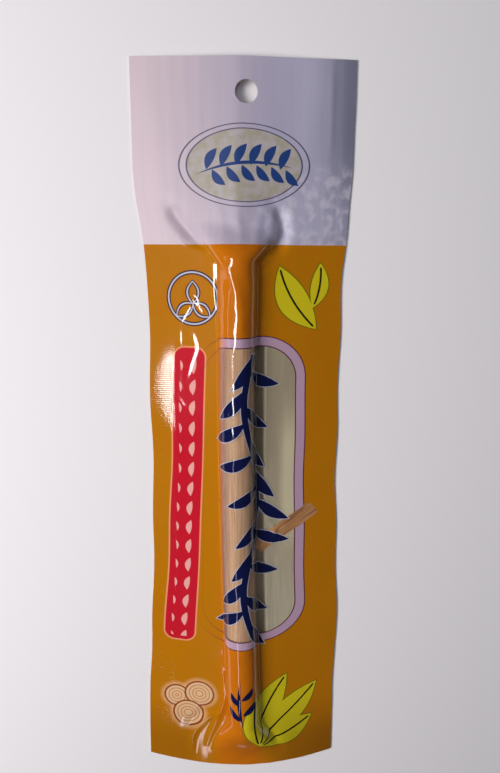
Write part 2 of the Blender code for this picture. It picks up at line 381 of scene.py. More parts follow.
def film_shape(flat_x, y, front):
    """The film as it lies, creases and all: rows of x, y, z in millimetres."""
    table = lay_film(front)
    place = film_point(flat_x, y, table, front)
    from_weld = np.abs(place[:, 2] - weld_height(place[:, 0], y)) - WELD_CLEARANCE
    up = np.array([0.0, 0.0, 1.0])
    if front:
        on_root = smooth_step(from_weld / SQUARE_FROM_WELD)[:, None]
        way = mix(up, film_normal(flat_x, y, table, front), on_root)
        creased_x = flat_x
    else:
        way = up * (1 - smooth_step(from_weld / STILL_FROM_WELD))[:, None]
        creased_x = read_table(place[:, 0], y, unlay_film(True))
    height = wave_height(creased_x, y) + weld_lift(creased_x, y)
    for crease in CREASES:
        height += crease_height(creased_x, y, *crease)
    shape = place + way * height[:, None]
    shape[:, 0] += edge_shift(creased_x, y)
    lowest = FLOOR_CLEARANCE + FILM_THICKNESS + (WELD_CLEARANCE * 2 if front else 0)
    shape[:, 2] = np.maximum(shape[:, 2], lowest)
    return shape


# Films.
def start_piece():
    bpy.ops.object.select_all(action="DESELECT")


def select_where(mesh_object, kind, wanted):
    """In edit mode, selects the faces or edges for which wanted(element) holds, and nothing else."""
    bpy.ops.mesh.select_mode(type=kind)
    bpy.ops.mesh.select_all(action="DESELECT")
    cage = bmesh.from_edit_mesh(mesh_object.data)
    for element in cage.faces if kind == "FACE" else cage.edges:
        element.select_set(wanted(element))
    bmesh.update_edit_mesh(mesh_object.data)


def make_film(name, front, materials):
    """A flat grid with its hang hole, draped over the stick, with its thickness and its flat map."""
    start_piece()
    bpy.ops.mesh.primitive_grid_add(x_subdivisions=FILM_CELLS[0], y_subdivisions=FILM_CELLS[1], size=1)
    film = bpy.context.object
    film.name = film.data.name = name
    film.scale = (POUCH_WIDTH, POUCH_LENGTH, 1)
    bpy.ops.object.transform_apply(location=True, rotation=True, scale=True)
    cut_hole_patch(film)

    mesh = film.data
    flat = np.zeros(len(mesh.vertices) * 3)
    mesh.vertices.foreach_get("co", flat)
    flat = flat.reshape(-1, 3)
    round_the_hole(flat)
    corners = np.zeros(len(mesh.loops), int)
    mesh.loops.foreach_get("vertex_index", corners)
    flat_map = mesh.uv_layers[0]
    flat_map.name = "flat_film"
    shares = flat[corners, :2] / (POUCH_WIDTH, POUCH_LENGTH) + 0.5
    flat_map.data.foreach_set("uv", shares.ravel())
    shape = film_shape(flat[:, 0], flat[:, 1], front) * MM
    mesh.vertices.foreach_set("co", shape.ravel())

    for material in materials:
        mesh.materials.append(material)
    wall = film.modifiers.new("film thickness", "SOLIDIFY")
    wall.thickness = FILM_THICKNESS * MM
    wall.offset = 1 if front else -1
    wall.material_offset = 1
    wall.material_offset_rim = 1
    bpy.ops.object.modifier_apply(modifier=wall.name)
    bpy.ops.object.shade_smooth_by_angle(angle=math.radians(60))
    return film


def hole_patch():
    """The patch of cells nearest to the hang hole: its middle and half its side, in millimetres."""
    cell = np.array([POUCH_WIDTH, POUCH_LENGTH]) / FILM_CELLS
    corner = np.array([HALF_WIDTH, HALF_LENGTH])
    middle = np.round((np.array(HANG_HOLE_PLACE) + corner) / cell) * cell - corner
    return middle, HOLE_CELLS / 2 * cell


def cut_hole_patch(film):
    """Takes the cells of the patch out of the flat film."""
    middle, half = hole_patch()

    def in_patch(face):
        return (abs(np.array(face.calc_center_median()[:2]) - middle) < half).all()

    bpy.ops.object.mode_set(mode="EDIT")
    select_where(film, "FACE", in_patch)
    bpy.ops.mesh.delete(type="FACE")
    bpy.ops.object.mode_set(mode="OBJECT")


def round_the_hole(flat):
    """Draws the vertices round the square patch into circles, fully at its edge and less further out."""
    middle, half = hole_patch()
    offset = flat[:, :2] - middle
    past = np.max(np.abs(offset), axis=1) - half[0]
    share = smooth_step(1 - past / HOLE_BLEND)[:, None]
    length = np.linalg.norm(offset, axis=1)[:, None]
    circle = np.array(HANG_HOLE_PLACE) + offset / length * (HANG_HOLE_DIAMETER / 2 + past[:, None])
    flat[:, :2] = mix(flat[:, :2], circle, share)


# Shader tools.
def new_material(name):
    material = bpy.data.materials.new(name)
    material.use_nodes = True
    return material, material.node_tree, material.node_tree.nodes["Principled BSDF"]


def feed(tree, sockets, **inputs):
    """Links or sets sockets by name, with _ for a space, or by number, as i0, i1 and so on."""
    for key, value in inputs.items():
        number = key[0] == "i" and key[1:].isdigit()
        socket = sockets[int(key[1:]) if number else key.replace("_", " ")]
        if isinstance(value, bpy.types.NodeSocket):
            tree.links.new(value, socket)
        else:
            socket.default_value = value


def put(tree, kind, settings=None, **inputs):
    """Adds a node of a kind, with its settings and inputs."""
    made = tree.nodes.new("ShaderNode" + kind)
    for key, value in (settings or {}).items():
        setattr(made, key, value)
    feed(tree, made.inputs, **inputs)
    return made


def maths(tree, operation, *values, kind="Math"):
    numbered = {f"i{number}": value for number, value in enumerate(values)}
    return put(tree, kind, {"operation": operation}, **numbered).outputs[0]


def off(tree, value, middle):
    """How far a value is from a middle one."""
    return maths(tree, "ABSOLUTE", maths(tree, "SUBTRACT", value, middle))


def vector_maths(tree, operation, *values):
    return maths(tree, operation, *values, kind="VectorMath")


def vector_length(tree, vector):
    return put(tree, "VectorMath", {"operation": "LENGTH"}, i0=vector).outputs["Value"]


def blend_colour(tree, share, under, over):
    return put(tree, "Mix", {"data_type": "RGBA"}, i0=share, i6=under, i7=over).outputs[2]


def overprint(tree, colour, *layers):
    """Lays inks over a colour, each given as its share and its own colour."""
    for share, over in layers:
        colour = blend_colour(tree, share, colour, over)
    return colour


def flat_noise(tree, point, scale, detail, **inputs):
    settings = {"noise_dimensions": "2D"}
    return put(tree, "TexNoise", settings, Vector=point, Scale=scale, Detail=detail, **inputs).outputs[0]


def stretched(tree, point, scale):
    return put(tree, "Mapping", Vector=point, Scale=scale).outputs[0]


def turned(tree, point, angle):
    return put(tree, "VectorRotate", {"rotation_type": "Z_AXIS"}, Vector=point, Angle=angle).outputs[0]


def remap(tree, value, start, end, low=0.0, high=1.0):
    """A value's way through a range, from low at its start to high at its end."""
    made = put(tree, "MapRange", Value=value, From_Min=start, From_Max=end, To_Min=low, To_Max=high)
    return made.outputs[0]


def new_group(name, inputs, outputs):
    """A shader group with its sockets, given as name and kind, and its input and output nodes' sockets."""
    tree = bpy.data.node_groups.new(name, "ShaderNodeTree")
    for sockets, way in ((inputs, "INPUT"), (outputs, "OUTPUT")):
        for socket, kind in sockets.items():
            tree.interface.new_socket(socket, in_out=way, socket_type="NodeSocket" + kind)
    return tree, tree.nodes.new("NodeGroupInput").outputs, tree.nodes.new("NodeGroupOutput").inputs


def use_group(tree, group, **inputs):
    return put(tree, "Group", {"node_tree": group}, **inputs).outputs


def fade(tree, value, start, end):
    """A smooth share: 0 at the start of a range and 1 at its end."""
    settings = {"interpolation_type": "SMOOTHSTEP"}
    return put(tree, "MapRange", settings, Value=value, From_Min=start, From_Max=end).outputs[0]


def ink(tree, distance, grow=0.0, softness=0.06):
    """1 inside a printed shape whose signed distance is given, 0 outside it, with a slightly soft edge."""
    return fade(tree, distance, grow + softness, grow - softness)


def fade_in(tree, *ranges):
    """The product of smooth shares, given as value and range."""
    product = 1.0
    for value, (start, end) in ranges:
        product = maths(tree, "MULTIPLY", fade(tree, value, start, end), product)
    return product


def srgb(red, green, blue):
    """A colour as seen on a screen, 0 to 255, as Blender's linear values."""
    return tuple(v / 12.92 if v <= 0.04045 else ((v + 0.055) / 1.055) ** 2.4
                 for v in (red / 255, green / 255, blue / 255)) + (1.0,)


# Colours, and where the shaded ones start and end on the flat film.
ORANGE = srgb(192, 125, 2)
# Warmer orange: random tone of the print, and painted light where it lies over the stick.
WARM_ORANGE = srgb(206, 116, 10)
# Header white with painted light: pinkish on the lit left, bluish and dimmer to the right, with soft vertical
# bands.
HEADER_WHITE_AND_PAINTED_LIGHT = [(0.0, srgb(222, 205, 211)), (0.35, srgb(198, 187, 200)), (0.62, srgb(184, 180, 203)),
                 (0.86, srgb(190, 188, 210)), (1.0, srgb(160, 160, 182))]
HEADER_ACROSS = (-28.0, 30.0)
# Painted shade in the header's far top corner.
HEADER_CORNER_PAINTED_SHADE = srgb(116, 118, 140)
HEADER_CORNER_ACROSS, HEADER_CORNER_ALONG = (16.0, 34.0), (64.0, 92.0)
# Painted glints: pale blotches beside the badge that stand in for highlights on crinkled film.
PAINTED_GLINT_WHITE = srgb(228, 224, 236)
PAINTED_GLINT_CONTRAST = (0.4, 0.72)
PAINTED_GLINT_ACROSS, PAINTED_GLINT_ALONG = (-8.0, 16.0), (84.0, 78.0)
PAINTED_GLINT_SHARE = 0.5
# Painted shade: the orange darker toward the bottom corners, away from the stick.
PAINTED_SHADE_BROWN = srgb(44, 24, 4)
PAINTED_SHADE_ALONG, PAINTED_SHADE_ACROSS = (-86.0, -104.0), (6.0, 19.0)
PAINTED_SHADE_SHARE = 0.3
MAUVE = srgb(196, 164, 186)
NAVY = srgb(14, 22, 70)
PALE_LINE = srgb(206, 204, 214)
RED = srgb(206, 26, 46)
SALMON = srgb(244, 160, 112)
YELLOW = srgb(222, 208, 30)
OLIVE = srgb(122, 116, 16)
HEADER_BLUE = srgb(22, 62, 128)
FRAME_GREY = srgb(84, 80, 112)
BADGE_BEIGE = srgb(176, 170, 150)
INSIDE_CREAM = srgb(200, 190, 160)
# Painted light: the inside cream brighter toward the bottom.
INSIDE_CREAM_PAINTED_LIGHT = srgb(242, 234, 206)
INSIDE_PAINTED_LIGHT_FADE = (10.0, -50.0)
CLEAR_HAZE = srgb(140, 128, 108)
# A milky patch right of the stick in the window's clear part: haze in the film, and painted light standing in
# for the lit back film behind it.
MILKY_PAINTED_LIGHT = srgb(240, 230, 192)
MILKY_LIGHT_ACROSS = (11.5, 16.0)
MILKY_LIGHT_ALONG = (40.0, 8.0)
MILKY_LIGHT_MIDDLE = -9.0
MILKY_LIGHT_SHARE = 0.6

# Print, on the flat film in millimetres.
HEADER_LINE = 60.5
SEAL_RIB_PITCH = 0.62
SEAL_RIB_WANDER = 3.5
WINDOW_CENTRE = (1.8, -14.7, 0)
WINDOW_HALF = (19.4, 49.4, 99)
WINDOW_CORNER = 13.0
WINDOW_BORDER = 2.8
WINDOW_LINE = 0.16
WINDOW_FADE = (-8.5, -3.4)
OUTLINE_FADE = (-16.0, -5.0)
CLEAR_ALPHA = 0.22
CLEAR_ALPHA_INSIDE = 0.04

VINE_X = 3.6
VINE_SWING = 3.2
VINE_WAVELENGTH = 60.0
VINE_TOP = 30.0
VINE_LENGTH = 90.0
VINE_HALF_STROKE = 1.0
VINE_LEAVES = 18
VINE_LEAF_LENGTH = 12.5
VINE_LEAF_HALF = 1.75
VINE_LEAF_TURN = 52.0
VINE_LEAF_BEND = 0.9

BADGE_CENTRE = (0.3, 81.8)
BADGE_HALF = (18.2, 11.0)
BADGE_MEAN_HALF = 13.0
SPRIG_HALF = 13.5
SPRIG_PAIRS = 6
SPRIG_PITCH = 4.1
RING_CENTRE = (-17.4, 45.4)
RING_RADIUS = 7.4
STRIPE_CENTRE = (-20.4, -17.0, 0)
STRIPE_HALF = (4.8, 48.0, 99)
STRIPE_MARK_PITCH = 6.4
STRIPE_MARKS = [((-18.9, -2.4), 84, 4.8, 0.95, 0.5), ((-22.9, -1.6), 96, 3.2, 0.4, -0.3)]
STRIPE_LEAN = 0.036
ROOT_SLICES = [((-22.4, -86.2), 4.1), ((-15.4, -84.6), 4.7), ((-18.8, -92.4), 4.9)]
CUT_ROOT_CENTRE = (15.5, -25.5, 0)
CUT_ROOT_HALF = (10.5, 2.3, 99)
CUT_ROOT_TURN = 34.0
BACK_PANEL_CENTRE = (0, -18.0, 0)
BACK_PANEL_HALF = (19.0, 56.0, 99)
TOP_LEAVES = [((23.6, 36.4), 120, 21, 4.3, 1.4), ((22.6, 42.6), 82, 13, 2.5, -1.2)]
BOTTOM_LEAVES = [((5.6, -101.4), turn, length, half, bend) for turn, length, half, bend in
                 ((92, 19, 3.4, 1.4), (66, 26, 4.3, 1.2), (44, 28, 4.4, -1.0), (20, 20, 3.6, -1.4))]
SMALL_SPRIG = [((0.4, -92.5), 93, 17, 0.55, 0.8), ((0.1, -90.0), 132, 6.2, 1.1, 0.6),
               ((0.2, -87.8), 48, 6.0, 1.1, -0.6), ((-0.2, -84.4), 128, 5.6, 1.0, 0.6),
               ((-0.2, -82.2), 50, 5.4, 1.0, -0.6)]


# Shader groups.
def make_rounded_box_group():
    """Signed distance to a rectangle with round corners, in millimetres on the flat film."""
    tree, inside, out = new_group(
        "rounded_box", {"Point": "Vector", "Centre": "Vector", "Half Size": "Vector", "Corner": "Float"},
        {"Distance": "Float"})
    offset = vector_maths(tree, "SUBTRACT", inside["Point"], inside["Centre"])
    past = vector_maths(tree, "SUBTRACT", vector_maths(tree, "ABSOLUTE", offset), inside["Half Size"])
    corner = vector_maths(tree, "ADD", past, inside["Corner"])
    length = vector_length(tree, vector_maths(tree, "MAXIMUM", corner))
    parts = put(tree, "SeparateXYZ", i0=corner)
    inner = maths(tree, "MINIMUM", maths(tree, "MAXIMUM", parts.outputs[0], parts.outputs[1]), 0.0)
    reach = maths(tree, "ADD", length, inner)
    feed(tree, out, Distance=maths(tree, "SUBTRACT", reach, inside["Corner"]))
    return tree


def make_leaf_group():
    """Rough signed distance to a leaf with pointed ends, from its base along its own direction."""
    tree, inside, out = new_group(
        "leaf", {"Point": "Vector", "Base": "Vector", "Turn": "Float", "Length": "Float",
                 "Half Width": "Float", "Bend": "Float"}, {"Distance": "Float", "Across": "Float"})
    offset = vector_maths(tree, "SUBTRACT", inside["Point"], inside["Base"])
    parts = put(tree, "SeparateXYZ", i0=turned(tree, offset, maths(tree, "MULTIPLY", inside["Turn"], -1.0)))
    share = maths(tree, "DIVIDE", parts.outputs[0], inside["Length"])
    signed = maths(tree, "MULTIPLY_ADD", share, 2.0, -1.0)
    swell = maths(tree, "SUBTRACT", 1.0, maths(tree, "MULTIPLY", signed, signed))
    bow = maths(tree, "MULTIPLY", swell, inside["Bend"])
    across = off(tree, parts.outputs[1], bow)
    edge = maths(tree, "MULTIPLY", swell, inside["Half Width"])
    feed(tree, out, Distance=maths(tree, "SUBTRACT", across, edge), Across=across)
    return tree


def make_flat_film_group():
    """The flat film's millimetres from its map, the ribs pressed in its side welds, and slow noise."""
    tree, inside, out = new_group("flat_film", {}, {"Point": "Vector", "X": "Float", "Y": "Float",
                                                    "Ribs": "Float", "Unevenness": "Float"})
    flat_map = put(tree, "UVMap", {"uv_map": "flat_film"})
    point = put(tree, "Mapping", Vector=flat_map.outputs[0], Location=(-HALF_WIDTH, -HALF_LENGTH, 0),
                Scale=(POUCH_WIDTH, POUCH_LENGTH, 1)).outputs[0]
    parts = put(tree, "SeparateXYZ", i0=point)
    x, y = parts.outputs[0], parts.outputs[1]
    side = maths(tree, "ABSOLUTE", x)
    in_weld = ink(tree, maths(tree, "SUBTRACT", SEAL_INNER, side), softness=0.2)
    below_header = ink(tree, maths(tree, "SUBTRACT", y, HEADER_LINE), softness=0.3)
    wander = maths(tree, "MULTIPLY", flat_noise(tree, point, 0.9, 1.0), SEAL_RIB_WANDER)
    wave = maths(tree, "SINE", maths(tree, "MULTIPLY_ADD", y, 2 * math.pi / SEAL_RIB_PITCH, wander))
    ribs = maths(tree, "MULTIPLY", wave, maths(tree, "MULTIPLY", in_weld, below_header))
    feed(tree, out, Point=point, X=x, Y=y, Ribs=ribs, Unevenness=flat_noise(tree, point, 0.35, 4.0))
    return tree


# Materials.
def film_bump(tree, shader, film, depth):
    """Welding ribs and a faint orange peel, as a bump that breaks up the gloss."""
    peel = flat_noise(tree, film["Point"], 1.3, 2.0)
    height = maths(tree, "MULTIPLY_ADD", peel, 0.25, film["Ribs"])
    bump = put(tree, "Bump", Height=height, Strength=1.0, Distance=depth * MM)
    feed(tree, shader.inputs, Normal=bump.outputs[0])


def nearest_of(tree, distances):
    """The smallest of several distances."""
    nearest = distances[0]
    for distance in distances[1:]:
        nearest = maths(tree, "MINIMUM", nearest, distance)
    return nearest


def box_distance(tree, groups, point, centre, half, corner):
    """Signed distance to a printed rectangle with round corners."""
    box = use_group(tree, groups["rounded_box"], Point=point, Centre=centre, Half_Size=half, Corner=corner)
    return box["Distance"]


def window_distance(tree, groups, film):
    return box_distance(tree, groups, film["Point"], WINDOW_CENTRE, WINDOW_HALF, WINDOW_CORNER)


def leaf_cluster(tree, groups, point, leaves):
    """Distance to the nearest of the leaves, given as base, turn in degrees, length, half width and bend,
    and distance to the nearest midrib."""
    blades, ribs = [], []
    for base, turn, length, half, bend in leaves:
        leaf = use_group(tree, groups["leaf"], Point=point, Base=(*base, 0), Turn=math.radians(turn),
                         Length=length, Half_Width=half, Bend=bend)
        blades.append(leaf["Distance"])
        ribs.append(maths(tree, "MAXIMUM", leaf["Across"], maths(tree, "ADD", leaf["Distance"], 1.0)))
    return nearest_of(tree, blades), nearest_of(tree, ribs)


def disc(tree, point, centre):
    """How far a point is from the middle of a printed disc."""
    return put(tree, "VectorMath", {"operation": "DISTANCE"}, i0=point, i1=(*centre, 0)).outputs["Value"]


def vine_leaves():
    """Leaves set alternately along the vine, each turned away from it."""
    leaves = []
    turn = 2 * math.pi / VINE_WAVELENGTH
    for number in range(VINE_LEAVES):
        y = VINE_TOP - number * VINE_LENGTH / VINE_LEAVES
        x = VINE_X + VINE_SWING * math.sin(turn * (y - VINE_TOP))
        slope = turn * VINE_SWING * math.cos(turn * (y - VINE_TOP))
        side = 1 if number % 2 else -1
        angle = -90 + math.degrees(math.atan(slope)) + side * VINE_LEAF_TURN
        leaves.append(((x, y), angle, VINE_LEAF_LENGTH, VINE_LEAF_HALF, -side * VINE_LEAF_BEND))
    return leaves


def vine_distance(tree, groups, film):
    """Signed distance to the vine over the window: its wavy stem and its leaves."""
    turn = 2 * math.pi / VINE_WAVELENGTH
    swing = maths(tree, "SINE", maths(tree, "MULTIPLY_ADD", film["Y"], turn, -turn * VINE_TOP))
    middle = maths(tree, "MULTIPLY_ADD", swing, VINE_SWING, VINE_X)
    stem = maths(tree, "SUBTRACT", off(tree, film["X"], middle), VINE_HALF_STROKE)
    from_middle = off(tree, film["Y"], VINE_TOP - VINE_LENGTH / 2)
    stem = maths(tree, "MAXIMUM", stem, maths(tree, "SUBTRACT", from_middle, VINE_LENGTH / 2))
    return maths(tree, "MINIMUM", stem, leaf_cluster(tree, groups, film["Point"], vine_leaves())[0])


def badge_sprig():
    """The header's blue sprig: a bowed stem with leaves in pairs."""
    x, y = BADGE_CENTRE
    leaves = [((x - SPRIG_HALF, y - 2.4), 4, 2 * SPRIG_HALF, 0.45, 2.2)]
    for number in range(SPRIG_PAIRS):
        along = x - 10.6 + number * SPRIG_PITCH
        lift = y - 1.9 + 2.0 * (1 - ((along - x) / SPRIG_HALF) ** 2)
        leaves += [((along, lift), 62, 6.4, 1.25, 0.6), ((along + 1.6, lift), -48, 5.6, 1.15, -0.6)]
    return leaves


def print_stripe(tree, groups, film, colour):
    """The red stripe down the left side, edged in salmon, with a row of small pale leaf marks."""
    lean = maths(tree, "MULTIPLY_ADD", film["Y"], -STRIPE_LEAN, STRIPE_LEAN * STRIPE_CENTRE[1])
    upright = maths(tree, "ADD", film["X"], lean)
    place = put(tree, "CombineXYZ", X=upright, Y=film["Y"])
    stripe = box_distance(tree, groups, place.outputs[0], STRIPE_CENTRE, STRIPE_HALF, 3.0)
    repeated = maths(tree, "WRAP", film["Y"], STRIPE_MARK_PITCH / 2, -STRIPE_MARK_PITCH / 2)
    cell = put(tree, "CombineXYZ", X=upright, Y=repeated)
    marks = leaf_cluster(tree, groups, cell.outputs[0], STRIPE_MARKS)[0]
    marks = maths(tree, "MAXIMUM", marks, maths(tree, "ADD", stripe, 1.2))
    return overprint(tree, colour, (ink(tree, stripe, 0.5), SALMON), (ink(tree, stripe), RED),
                     (ink(tree, marks), srgb(244, 178, 168)))


def print_ring(tree, groups, film, colour):
    """A ring with three leaves, in pale lines edged in navy."""
    ring = off(tree, disc(tree, film["Point"], RING_CENTRE), RING_RADIUS)
    base = (RING_CENTRE[0], RING_CENTRE[1] - 1.5)
    spread = [(base, turn, 6.3, 1.7, 0.0) for turn in (90, 215, 325)]
    leaves = leaf_cluster(tree, groups, film["Point"], spread)[0]
    lines = maths(tree, "MINIMUM", ring, maths(tree, "ABSOLUTE", leaves))
    return overprint(tree, colour, (ink(tree, lines, 0.62), NAVY), (ink(tree, lines, 0.24), PALE_LINE))


def print_leaves(tree, groups, film, leaves, colour):
    """Yellow leaves with an olive edge and dark midribs."""
    blades, ribs = leaf_cluster(tree, groups, film["Point"], leaves)
    return overprint(tree, colour, (ink(tree, blades, 0.35), OLIVE), (ink(tree, blades), YELLOW),
                     (ink(tree, ribs, 0.3), srgb(38, 40, 12)))


def print_root_slices(tree, film, colour):
    """Round slices of root with a brown rim and rings, in a pale glow."""
    slices = [maths(tree, "SUBTRACT", disc(tree, film["Point"], centre), radius)
              for centre, radius in ROOT_SLICES]
    for out in slices:
        glow = maths(tree, "MULTIPLY", ink(tree, out, 0.9, 0.9), 0.55)
        colour = blend_colour(tree, glow, colour, srgb(244, 196, 140))
    for out in slices:
        rings = [(ink(tree, off(tree, out, -inset), 0.14, 0.1), srgb(206, 122, 54))
                 for inset in (1.5, 2.6, 3.6)]
        colour = overprint(tree, colour, (ink(tree, out), srgb(150, 70, 26)),
                           (ink(tree, out, -0.55), srgb(232, 196, 150)), *rings)
    return colour


def print_cut_root(tree, groups, film, colour):
    """A short length of root with brown, streaked bark. Gives its colour and its mask."""
    moved = vector_maths(tree, "SUBTRACT", film["Point"], CUT_ROOT_CENTRE)
    place = turned(tree, moved, -math.radians(CUT_ROOT_TURN))
    mask = ink(tree, box_distance(tree, groups, place, (0, 0, 0), CUT_ROOT_HALF, 1.0))
    streaks = flat_noise(tree, stretched(tree, place, (0.12, 1.4, 1)), 1.0, 3.0)
    bark = blend_colour(tree, streaks, srgb(92, 30, 18), srgb(236, 180, 120))
    return blend_colour(tree, mask, colour, bark), mask


def print_header(tree, groups, film):
    """The header's colours: white with painted light, turning from pinkish to bluish, with painted shade in
    its far corner and painted glints standing in for highlights on crinkles beside the badge, which is an
    oval with a sprig."""
    point = film["Point"]
    # Painted light: soft vertical bands and a pinkish-to-bluish ramp across the header.
    bands = flat_noise(tree, stretched(tree, point, (0.5, 0.02, 1)), 1.0, 1.0)
    across = remap(tree, film["X"], *HEADER_ACROSS)
    bands = maths(tree, "SUBTRACT", bands, 0.5)
    tone = put(tree, "ValToRGB", Fac=maths(tree, "MULTIPLY_ADD", bands, 0.2, across))
    shades = tone.color_ramp.elements
    for place, shade in HEADER_WHITE_AND_PAINTED_LIGHT[1:-1]:
        shades.new(place).color = shade
    shades[0].color, shades[-1].color = HEADER_WHITE_AND_PAINTED_LIGHT[0][1], HEADER_WHITE_AND_PAINTED_LIGHT[-1][1]
    # Painted shade: the header darker in its far top corner.
    corner = fade_in(tree, (film["X"], HEADER_CORNER_ACROSS), (film["Y"], HEADER_CORNER_ALONG))
    white = blend_colour(tree, corner, tone.outputs[0], HEADER_CORNER_PAINTED_SHADE)
    # Painted glints: pale blotches beside the badge in place of highlights on crinkles.
    painted_glints = flat_noise(tree, point, 0.34, 4.0, Distortion=0.15)
    painted_glints = fade_in(tree, (painted_glints, PAINTED_GLINT_CONTRAST), (film["X"], PAINTED_GLINT_ACROSS),
                      (film["Y"], PAINTED_GLINT_ALONG))
    white = blend_colour(tree, maths(tree, "MULTIPLY", painted_glints, PAINTED_GLINT_SHARE), white, PAINTED_GLINT_WHITE)

    from_badge = vector_maths(tree, "SUBTRACT", point, (*BADGE_CENTRE, 0))
    out = vector_length(tree, vector_maths(tree, "DIVIDE", from_badge, (*BADGE_HALF, 1)))
    oval = maths(tree, "MULTIPLY", maths(tree, "SUBTRACT", out, 1.0), BADGE_MEAN_HALF)
    mottled = remap(tree, film["Unevenness"], 0.35, 0.65)
    beige = blend_colour(tree, mottled, BADGE_BEIGE, srgb(190, 184, 184))
    lines = [(ink(tree, off(tree, oval, -inset), 0.16), FRAME_GREY) for inset in (0.0, 1.5)]
    sprig = leaf_cluster(tree, groups, point, badge_sprig())[0]
    return overprint(tree, white, (ink(tree, oval, -1.4), beige), *lines, (ink(tree, sprig), HEADER_BLUE))


def make_print(groups):
    """The printed outer face of the front film."""
    material, tree, shader = new_material("printed_front")
    film = use_group(tree, groups["flat_film"])
    toned = remap(tree, film["Unevenness"], 0.3, 0.7, high=0.35)
    orange = blend_colour(tree, toned, ORANGE, WARM_ORANGE)
    off_root = off(tree, film["X"], -1.0)
    # Painted light: the orange over the stick is warmer and brighter, as where it is lit.
    colour = blend_colour(tree, ink(tree, off_root, 7.5, 2.5), orange, WARM_ORANGE)
    colour = print_stripe(tree, groups, film, colour)
    colour = print_ring(tree, groups, film, colour)
    colour = print_leaves(tree, groups, film, TOP_LEAVES + BOTTOM_LEAVES, colour)
    colour = print_root_slices(tree, film, colour)

    window = window_distance(tree, groups, film)
    shown = fade(tree, film["X"], *WINDOW_FADE)
    colour = blend_colour(tree, maths(tree, "MULTIPLY", ink(tree, window), shown), colour, MAUVE)
    clear = maths(tree, "MULTIPLY", ink(tree, window, -WINDOW_BORDER), shown)
    colour = blend_colour(tree, clear, colour, CLEAR_HAZE)
    # Milky patch: haze in the film and painted light, paler and less clear to the right of the stick.
    milky_light = fade_in(tree, (film["X"], MILKY_LIGHT_ACROSS), (off(tree, film["Y"], MILKY_LIGHT_MIDDLE), MILKY_LIGHT_ALONG))
    colour = blend_colour(tree, maths(tree, "MULTIPLY", clear, milky_light), colour, MILKY_PAINTED_LIGHT)
    milky_light = maths(tree, "MULTIPLY", milky_light, MILKY_LIGHT_SHARE)
    edge_lines = maths(tree, "MINIMUM", off(tree, window, 0.0), off(tree, window, -WINDOW_BORDER))
    lines_shown = remap(tree, film["X"], *OUTLINE_FADE)
    line = maths(tree, "MULTIPLY", ink(tree, edge_lines, WINDOW_LINE), lines_shown)
    colour = blend_colour(tree, line, colour, srgb(96, 40, 60))
    colour, cut_root = print_cut_root(tree, groups, film, colour)

    vine = vine_distance(tree, groups, film)
    vine_edge = ink(tree, vine, 0.22)
    colour = blend_colour(tree, vine_edge, colour, PALE_LINE)
    navy = maths(tree, "MINIMUM", vine, leaf_cluster(tree, groups, film["Point"], SMALL_SPRIG)[0])
    colour = blend_colour(tree, ink(tree, navy), colour, NAVY)
    # Painted shade: darker toward the bottom corners.
    painted_shade = fade_in(tree, (film["Y"], PAINTED_SHADE_ALONG), (off_root, PAINTED_SHADE_ACROSS))
    colour = blend_colour(tree, maths(tree, "MULTIPLY", painted_shade, PAINTED_SHADE_SHARE), colour, PAINTED_SHADE_BROWN)

    header = ink(tree, maths(tree, "SUBTRACT", HEADER_LINE, film["Y"]))
    colour = blend_colour(tree, header, colour, print_header(tree, groups, film))
    see_through = clear
    for covered in (vine_edge, line, cut_root, milky_light):
        see_through = maths(tree, "MULTIPLY", see_through, maths(tree, "SUBTRACT", 1.0, covered))
    alpha = maths(tree, "MULTIPLY_ADD", see_through, CLEAR_ALPHA - 1, 1.0)
    gloss = remap(tree, header, 0.0, 1.0, 0.09, 0.5)
    feed(tree, shader.inputs, Base_Color=colour, Alpha=alpha, Roughness=gloss, IOR=1.7)
    film_bump(tree, shader, film, 0.014)
    return material


def make_inside(groups, name, with_window):
    """The unprinted inner face of a film: streaked cream with painted light, brighter toward the bottom, and
    nearly clear behind the window.
    """
    material, tree, shader = new_material(name)
    film = use_group(tree, groups["flat_film"])
    streaks = flat_noise(tree, stretched(tree, film["Point"], (1.6, 0.06, 1)), 1.0, 3.0)
    # Painted light: the cream turns brighter toward the bottom.
    cream = blend_colour(tree, remap(tree, film["Y"], *INSIDE_PAINTED_LIGHT_FADE), INSIDE_CREAM, INSIDE_CREAM_PAINTED_LIGHT)
    colour = blend_colour(tree, maths(tree, "MULTIPLY", streaks, 0.6), cream, srgb(172, 162, 132))
    feed(tree, shader.inputs, Base_Color=colour, Roughness=0.3)
    if with_window:
        clear = ink(tree, window_distance(tree, groups, film), -WINDOW_BORDER)
        feed(tree, shader.inputs, Alpha=maths(tree, "MULTIPLY_ADD", clear, CLEAR_ALPHA_INSIDE - 1, 1.0))
    film_bump(tree, shader, film, 0.02)
    return material


def make_back_print(groups):
    """The printed outer face of the back film: the header and a plain panel."""
    material, tree, shader = new_material("printed_back")
    film = use_group(tree, groups["flat_film"])
    colour = blend_colour(tree, film["Unevenness"], ORANGE, WARM_ORANGE)
    panel = box_distance(tree, groups, film["Point"], BACK_PANEL_CENTRE, BACK_PANEL_HALF, 6.0)
    header = ink(tree, maths(tree, "SUBTRACT", HEADER_LINE, film["Y"]))
    # The back's header takes the pinkish, lit end of the front header's painted light.
    colour = overprint(tree, colour, (ink(tree, panel), MAUVE), (ink(tree, panel, -1.2), srgb(232, 214, 176)),
                       (header, HEADER_WHITE_AND_PAINTED_LIGHT[0][1]))
    feed(tree, shader.inputs, Base_Color=colour, Roughness=remap(tree, header, 0.0, 1.0, 0.18, 0.36))
    film_bump(tree, shader, film, 0.03)
    return material


# Root.
ROOT_SIDES = 96
ROOT_RINGS = 260
ROOT_END_RINGS = 6
